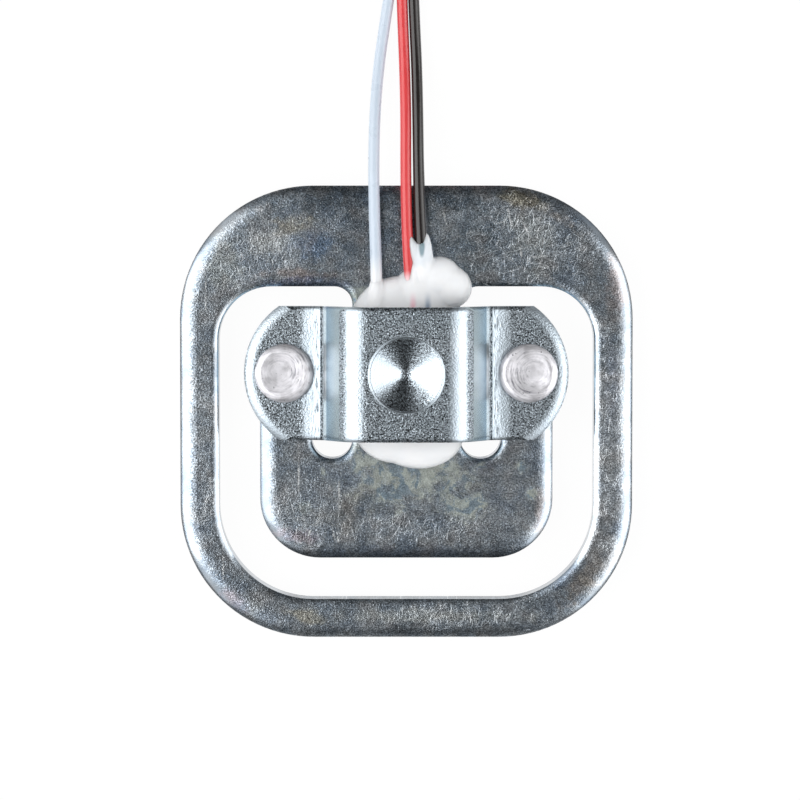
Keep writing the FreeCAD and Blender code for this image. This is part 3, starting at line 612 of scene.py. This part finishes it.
# Wires: each is one cord from the sealant over the plate, down to the floor and into a tied coil
wireKit = {"diameter": 0.84, "length": 340.0, "pitch": 0.86, "coilMiddle": (5.87, 44.5), "coilRadius": 7.5,
           "hump": 0.95, "tieLift": 0.42, "tailBend": 3.0, "tailEnd": 37.6,  # to here in mm
           "climb": 0.25, "crossStart": 3.5, "crossStep": 0.05, "crossTurn": (0.2, 0.1),  # in turns
           "tieReach": 30.0, "tieAngle": 90, "tieEase": 0.3,  # degrees, and the share of the reach held level
           "turns": 6.5, "layers": 4, "pointsPerTurn": 16, "roundness": 5, "smoothness": 6,
           # how much thicker a lead is at its first points, under a skin of silicone
           "swell": {"white": (1.04, 1.04), "red": (1.04, 1.04), "black": (1.2, 1.2, 1.15)}}
wireRoutes = {
    "white": [(-2.20, 7.9, 2.78), (-2.25, 10.9, 2.76), (-2.38, 14.4, 2.77), (-2.45, 18.2, 2.73),
              (-2.38, 22.0, 2.02), (-2.10, 25.8, 1.08), (-1.60, 29.2, 0.53), (-1.20, 31.8, 0.44),
              (-1.20, 34.2, 0.44)],
    "red": [(0.45, 7.9, 2.78), (0.20, 10.9, 2.76), (0.02, 14.4, 2.77), (-0.05, 18.2, 2.73),
            (-0.03, 22.0, 2.02), (-0.12, 25.8, 1.08), (-0.26, 29.2, 0.53), (-0.34, 31.8, 0.44),
            (-0.34, 34.2, 0.44)],
    "black": [(1.55, 7.9, 2.78), (1.25, 10.9, 2.76), (1.03, 14.4, 2.77), (0.90, 18.2, 2.73),
              (0.86, 22.0, 2.02), (0.78, 25.8, 1.08), (0.62, 29.2, 0.53), (0.52, 31.8, 0.44),
              (0.52, 34.2, 0.44)]}
wireFinish = {"white": pvc("whitePvc", "#afbbc8", "#b9c4d0", 0.3, ("#dcdee1", 12.2, 9.9)),
              "red": pvc("redPvc", "#bf3639", "#cb4547", 0.18, ("#e2bcc0", 10.75, 9.9)),
              "black": pvc("blackPvc", "#171413", "#221d1c", 0.18)}


def coilPoint(turn, order):
    # a place on the coil after so many turns; order counts the wires from the coil's middle line outwards
    aside = wireKit["pitch"] * (0.5 + order)
    start = wireKit["crossStart"] + wireKit["crossStep"] * order
    first, added = wireKit["crossTurn"]
    crossed = smoothStep(turn, start, start + first + added * order)  # from the inner turns to the outer ones
    hump = wireKit["hump"] * min(order, 1) * math.sin(math.pi * crossed) ** 2
    radius = wireKit["coilRadius"] - aside + 2 * aside * crossed
    radius /= math.cos(math.pi / wireKit["pointsPerTurn"])  # the spline runs inside its points
    count = min(int(turn), int(wireKit["turns"]))
    part = turn - count
    top = wireKit["layers"] - 1
    if count < top:
        layer = count + smoothStep(part, 1 - wireKit["climb"], 1)
    elif count == top:
        layer = top
    else:
        layer = 2 * top + 1 - count - smoothStep(part, 0, wireKit["climb"])
    angle = 180 - 360 * turn
    fromTie = abs((angle - wireKit["tieAngle"] + 180) % 360 - 180)
    near = wireKit["tieEase"] * wireKit["tieReach"]
    lift = wireKit["tieLift"] * (1 - smoothStep(fromTie, near, wireKit["tieReach"]))
    middle = wireKit["coilMiddle"]
    heading = math.radians(angle)
    return (middle[0] + radius * math.cos(heading), middle[1] + radius * math.sin(heading),
            wireKit["diameter"] / 2 + layer * wireKit["pitch"] + hump + lift)


def wirePoints(colour, order):
    # the route, the turns of the coil and the straight tail
    points = list(wireRoutes[colour])
    leadEnd = points[-1]
    points.append((leadEnd[0], (leadEnd[1] + wireKit["coilMiddle"][1]) / 2, leadEnd[2]))
    steps = int(wireKit["turns"] * wireKit["pointsPerTurn"])
    for step in range(steps):
        points.append(coilPoint((step + 0.5) / wireKit["pointsPerTurn"], order))
    tail = wireKit["coilMiddle"][0] + wireKit["coilRadius"] + wireKit["pitch"] * (0.5 + order)
    low = wireKit["diameter"] / 2
    points.append((tail, wireKit["coilMiddle"][1] - wireKit["tailBend"], low))
    points.append((tail, wireKit["tailEnd"], low))
    return points


wires = {}
for order, colour in enumerate(wireRoutes):
    curve = bpy.data.curves.new("wire" + colour.title(), "CURVE")
    curve.dimensions = "3D"
    curve.bevel_depth = wireKit["diameter"] / 2 * mm
    curve.bevel_resolution = wireKit["roundness"]
    curve.use_fill_caps = True
    curve.resolution_u = wireKit["smoothness"]
    spline = curve.splines.new("NURBS")
    points = wirePoints(colour, order)
    spline.points.add(len(points) - 1)
    for control, point in zip(spline.points, points):
        control.co = metres(*point) + (1.0,)
    for control, swell in zip(spline.points, wireKit["swell"][colour]):
        control.radius = swell
    spline.order_u = 3
    spline.use_endpoint_u = True
    piece = bpy.data.objects.new("wire" + colour.title(), curve)
    bpy.context.collection.objects.link(piece)
    dress(piece, colour + "_pvc", wireFinish[colour], "wire_" + colour, "wire_coil")
    wires[colour] = piece
print("wires laid")


# Tinned ends: six strands twisted round a seventh, one end modelled and copied; mm and degrees
tips = {"strands": 6, "strandRadius": 0.083, "strandSides": 8, "length": 4.5, "steps": 18, "twist": 400.0,
        "taper": 0.55, "nose": 0.06, "smooth": 50}

low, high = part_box("tinned_end_white")
axis = ((low[0] + high[0]) / 2, high[1], (low[2] + high[2]) / 2)
clearSelection()
for strand in range(tips["strands"] + 1):
    angle = 2 * math.pi * strand / tips["strands"]
    reach = 2 * tips["strandRadius"] * mm if strand < tips["strands"] else 0.0
    start = (axis[0] + reach * math.cos(angle), axis[1], axis[2] + reach * math.sin(angle))
    bpy.ops.mesh.primitive_circle_add(vertices=tips["strandSides"], radius=tips["strandRadius"] * mm,
                                      fill_type="NGON", location=start, rotation=(math.pi / 2, 0, 0))
    if strand == 0:
        firstTip = settle(bpy.context.object, "tinnedEndWhite")
        bpy.ops.object.mode_set(mode="EDIT")
bpy.ops.mesh.select_mode(type="FACE")
bpy.ops.mesh.select_all(action="SELECT")
forward = (tips["length"] - tips["nose"]) / tips["steps"]
for step in range(tips["steps"]):
    bpy.ops.mesh.extrude_region_move(TRANSFORM_OT_translate={"value": metres(0, -forward, 0)})
    bpy.ops.transform.rotate(value=math.radians(tips["twist"] / tips["steps"]), orient_axis="Y",
                             center_override=axis)
bpy.ops.mesh.extrude_region_move(TRANSFORM_OT_translate={"value": metres(0, -tips["nose"], 0)})
bpy.ops.transform.resize(value=(tips["taper"], 1, tips["taper"]), center_override=axis)
bpy.ops.mesh.select_all(action="SELECT")
bpy.ops.mesh.normals_make_consistent(inside=False)
bpy.ops.object.mode_set(mode="OBJECT")
bpy.ops.object.shade_smooth_by_angle(angle=math.radians(tips["smooth"]))
ends = {}
for colour in wires:
    ends[colour] = firstTip
    if colour != "white":
        ends[colour] = firstTip.copy()
        ends[colour].data = firstTip.data.copy()
        bpy.context.collection.objects.link(ends[colour])
        ends[colour].location.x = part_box("tinned_end_" + colour)[0][0] - low[0]
        settle(ends[colour], "tinnedEnd" + colour.title())
    dress(ends[colour], "tinned_copper", tinnedCopper, "tinned_end_" + colour)
print("ends tinned")


# Tie: a ribbed plastic band round the coil, its two ends twisted together on top; mm and degrees
tie = {"width": 2.4, "height": 4.24, "wing": 0.28, "rib": 0.12, "ribWidth": 0.6, "cornerRound": 0.6,
       "edgeRound": 0.05, "smooth": 40, "twistLength": 6.0, "endWidth": 0.94, "endThickness": 0.22,
       "endRound": 0.08, "endDrop": 0.55, "gap": 0.03, "twists": 3, "cuts": 48}

low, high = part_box("coil_tie")
bandMiddle = (low[0] + tie["width"] / 2 * mm, (low[1] + high[1]) / 2, tie["height"] / 2 * mm)
ribRoom = 2 * tie["rib"] * mm
bandSize = (tie["width"] * mm, high[1] - low[1] - ribRoom, tie["height"] * mm - ribRoom)
clearSelection()
bpy.ops.mesh.primitive_cube_add(size=1, location=bandMiddle, scale=bandSize)
band = settle(bpy.context.object, "coilTie")
editOnly(band, "FACE", lambda face: abs(face.normal.x) > 0.9)  # the two open sides
bpy.ops.mesh.delete(type="FACE")
editOnly(band, "EDGE", edgeAlong(band, 0))
bpy.ops.mesh.bevel(offset=tie["cornerRound"] * mm, segments=5)
for side in (-1, 1):
    bpy.ops.mesh.select_all(action="SELECT")
    bpy.ops.mesh.bisect(plane_co=(bandMiddle[0] + side * tie["ribWidth"] / 2 * mm, 0, 0), plane_no=(1, 0, 0))
applyModifier(band, "SOLIDIFY", thickness=tie["wing"] * mm, offset=-1.0)


def onRib(face):
    # the outer faces on the band's middle line
    outward = Vector(face.center) - Vector(bandMiddle)
    onLine = abs(outward.x) < tie["ribWidth"] / 2 * mm
    return onLine and abs(face.normal.x) < 0.1 and face.normal.dot(outward) > 0


editOnly(band, "FACE", onRib)
bpy.ops.mesh.extrude_region_shrink_fatten(TRANSFORM_OT_shrink_fatten={"value": tie["rib"] * mm})
applyModifier(band, "BEVEL", width=tie["edgeRound"] * mm, segments=2, limit_method="ANGLE",
              angle_limit=math.radians(tie["smooth"]))

clearSelection()
twistMiddle = (high[0] - tie["twistLength"] / 2 * mm, bandMiddle[1], high[2] - tie["endDrop"] * mm)
bpy.ops.mesh.primitive_cube_add(size=1, location=twistMiddle,
                                scale=metres(tie["twistLength"], tie["endWidth"], tie["endThickness"]))
twist = bpy.context.object
bpy.ops.object.transform_apply(location=False, rotation=False, scale=True)
lift = (tie["endThickness"] + tie["gap"]) / 2
bpy.ops.object.mode_set(mode="EDIT")
bpy.ops.transform.translate(value=metres(0, 0, lift))
bpy.ops.mesh.duplicate_move(TRANSFORM_OT_translate={"value": metres(0, 0, -2 * lift)})
editOnly(twist, "EDGE", edgeAlong(twist, 0))
bpy.ops.mesh.bevel(offset=tie["endRound"] * mm, segments=2)
editOnly(twist, "EDGE", edgeAlong(twist, 0))
bpy.ops.mesh.subdivide(number_cuts=tie["cuts"])
applyModifier(twist, "SIMPLE_DEFORM", deform_method="TWIST", deform_axis="X",
              angle=2 * math.pi * tie["twists"])
settle(twist, "coilTieEnds")
band.select_set(True)
bpy.context.view_layer.objects.active = band
bpy.ops.object.join()
bpy.ops.object.shade_smooth_by_angle(angle=math.radians(tie["smooth"]))
dress(band, "tie_pvc", speckled("mouldedTiePvc", "#1b1b1d", "#2a2a2d", 0.25, 0.01, 0.5, 0.0), "coil_tie")
print("coil tied")


# Sealant: silicone squeezed over the gauge, a drop where the nozzle was lifted, and fingers drawn along the
# leads; mm and degrees
sealantBead = {
    "voxel": 0.11, "smoothing": 14, "underside": 1.95, "smooth": 50,
    "bodies": [  # middle, then reach each way
        ((0.0, 3.0, 2.2), (3.9, 6.4, 1.3)), ((0.95, -1.9, 2.1), (3.35, 2.4, 1.35)),
        ((-0.6, -1.4, 2.1), (3.35, 2.5, 1.35)), ((-0.3, 6.9, 2.2), (3.9, 3.4, 1.25)),
        ((3.15, 9.4, 2.1), (1.8, 1.68, 1.35)), ((2.45, 10.0, 2.1), (1.75, 1.75, 1.4)),
        ((1.2, 8.8, 2.2), (2.3, 2.3, 1.3)), ((-2.22, 7.9, 2.72), (0.75, 2.6, 0.72)),
        ((2.1, 9.9, 2.6), (1.3, 1.6, 0.95)), ((-0.8, 8.6, 2.4), (1.9, 1.5, 0.9))],
    "strings": [  # start, end and radius
        ((1.35, 9.6, 2.9), (1.2, 12.4, 2.85), 0.72), ((0.95, 10.6, 3.0), (0.36, 13.0, 3.02), 0.34),
        ((1.75, 10.4, 2.9), (1.5, 13.2, 2.95), 0.38), ((0.5, 9.0, 3.0), (0.82, 11.4, 3.02), 0.42)]}


def addBall(middle, reach, turn=(0, 0, 0)):
    bpy.ops.mesh.primitive_uv_sphere_add(segments=32, ring_count=16, radius=1, location=metres(*middle),
                                         rotation=turn, scale=metres(*reach))


clearSelection()
addBall(*sealantBead["bodies"][0])
bead = settle(bpy.context.object, "sealantBead")
bpy.ops.object.mode_set(mode="EDIT")
for middle, reach in sealantBead["bodies"][1:]:
    addBall(middle, reach)
for start, end, radius in sealantBead["strings"]:
    along = Vector(end) - Vector(start)
    addBall((Vector(start) + Vector(end)) / 2, (radius, radius, along.length / 2 + radius),
            along.to_track_quat("Z", "Y").to_euler())
applyModifier(bead, "REMESH", mode="VOXEL", voxel_size=sealantBead["voxel"] * mm)
applyModifier(bead, "SMOOTH", factor=0.5, iterations=sealantBead["smoothing"])
bpy.ops.object.mode_set(mode="EDIT")
bpy.ops.mesh.select_all(action="SELECT")
bpy.ops.mesh.bisect(plane_co=metres(0, 0, sealantBead["underside"]), plane_no=(0, 0, 1), use_fill=True,
                    clear_inner=True)
bpy.ops.object.mode_set(mode="OBJECT")
bpy.ops.object.shade_smooth_by_angle(angle=math.radians(sealantBead["smooth"]))
dress(bead, "silicone", silicone(), "sealant")
print("sealant laid,", len(bead.data.polygons), "faces")


# Finishes of the pieces that keep their CAD shape
finishes = {"spring_plate": zincPlate(), "load_bridge": zincStrap(),
            "gauge_film": speckled("polyimideFilm", "#8f5a1a", "#a86c24", 0.4, 0.004, 0.4, 0.0),
            "gauge_foil": speckled("etchedConstantanFoil", "#a98f74", "#c0a688", 0.1, 0.003, 0.34, 1.0)}
rivetSwirls = {  # how far the rings and the most rubbed place are off the middle, mm
    "rivet_left": ((-0.35, 0.15), (1.2, 0.3)), "rivet_right": ((0.45, 0.1), (-1.0, -0.3))}
for node, (offset, rubbed) in rivetSwirls.items():
    low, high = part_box(node)
    middle = ((low[0] + high[0]) / 2 / mm, (low[1] + high[1]) / 2 / mm)
    finishes[node] = rivetSteel("orbitalFormedSteel" + node.split("_")[1].title(), middle, offset, rubbed)
brightSolder = speckled("brightSolder", "#b7babd", "#cdcfd1", 0.3, 0.01, 0.3, 1.0)
for colour in wires:
    finishes["solder_" + colour] = brightSolder
    finishes["conductor_" + colour] = tinnedCopper
for node, material in finishes.items():
    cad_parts[node].data.materials[0] = material
print("finishes given")


# Studio: a softbox on each side, dark above and at the horizon, on a white floor; lengths in m
studio = {"sky": 0.085, "floorSize": 4.0, "floorDrop": 0.00002, "floorGlow": 0.955, "paper": "#f7f7f7",
          "distance": 0.65,
          "softboxes": {  # side, angles of the upper and lower edge from straight up, ends along y, radiance
              "leftSoftbox": (-1, 19, 80, (-0.29, 0.32), 2.6),
              "rightSoftbox": (1, 50, 80, (-0.48, 0.28), 2.6),
              "rightSoftboxFade": (1, 34, 50, (-0.48, 0.28), 1.7),
              "rightSoftboxRim": (1, 20, 34, (-0.48, 0.28), 0.75),
              "leftSoftboxFront": (-1, 19, 80, (-0.75, -0.29), 1.0),
              "leftSoftboxBack": (-1, 19, 80, (0.32, 0.75), 0.8),
              "rightSoftboxFront": (1, 50, 80, (-0.9, -0.48), 1.5),
              "rightSoftboxBack": (1, 50, 80, (0.28, 0.75), 0.4),
              "overhead": (1, -14, 14, (-0.16, 0.16), 1.65)},
          "matt": ["overhead"]}  # lamps that only matt surfaces see

for name, (side, upper, lower, (near, far), radiance) in studio["softboxes"].items():
    edges = []
    for angle in (upper, lower):
        turn = math.radians(angle)
        edges.append(Vector((side * math.sin(turn), 0, math.cos(turn))) * studio["distance"])
    facing = -(edges[0] + edges[1]) / 2
    size = (edges[0] - edges[1]).length
    clearSelection()
    bpy.ops.object.light_add(type="AREA", location=Vector((0, (near + far) / 2, 0)) - facing)
    lamp = bpy.context.object
    lamp.name = name
    lamp.rotation_euler = facing.to_track_quat("-Z", "Y").to_euler()
    lamp.data.shape = "RECTANGLE"
    lamp.data.size = far - near
    lamp.data.size_y = size
    lamp.data.energy = 4 * (far - near) * size * radiance  # watts are four times area times radiance
    lamp.visible_camera = False
    lamp.visible_glossy = name not in studio["matt"]

world = bpy.data.worlds.new("studio")
bpy.context.scene.world = world
world.use_nodes = True
background = world.node_tree.nodes["Background"]
connect(world.node_tree, background, {"Color": (1, 1, 1, 1), "Strength": studio["sky"]})

clearSelection()
bpy.ops.mesh.primitive_plane_add(size=studio["floorSize"], location=(0, 0, -studio["floorDrop"]))
floor = settle(bpy.context.object, "floor")
material, tree, shader = newMaterial("whitePaperSweep")  # paper that shows white, and still takes the shadow
tree.nodes.remove(shader)
paper = addNode(tree, "BsdfDiffuse", {"Color": linear(studio["paper"])})
glow = addNode(tree, "Emission", {"Color": (1, 1, 1, 1), "Strength": 1.0})
ray = addNode(tree, "LightPath").outputs
seen = strongest(tree, [ray["Is Camera Ray"], ray["Is Glossy Ray"], ray["Is Transmission Ray"]])
share = addNode(tree, "Math", {0: seen, 1: studio["floorGlow"]}, operation="MULTIPLY")
mixed = addNode(tree, "MixShader", {0: share, 1: paper, 2: glow})
connect(tree, tree.nodes["Material Output"], {"Surface": mixed})
floor.data.materials.append(material)
print("studio lit")
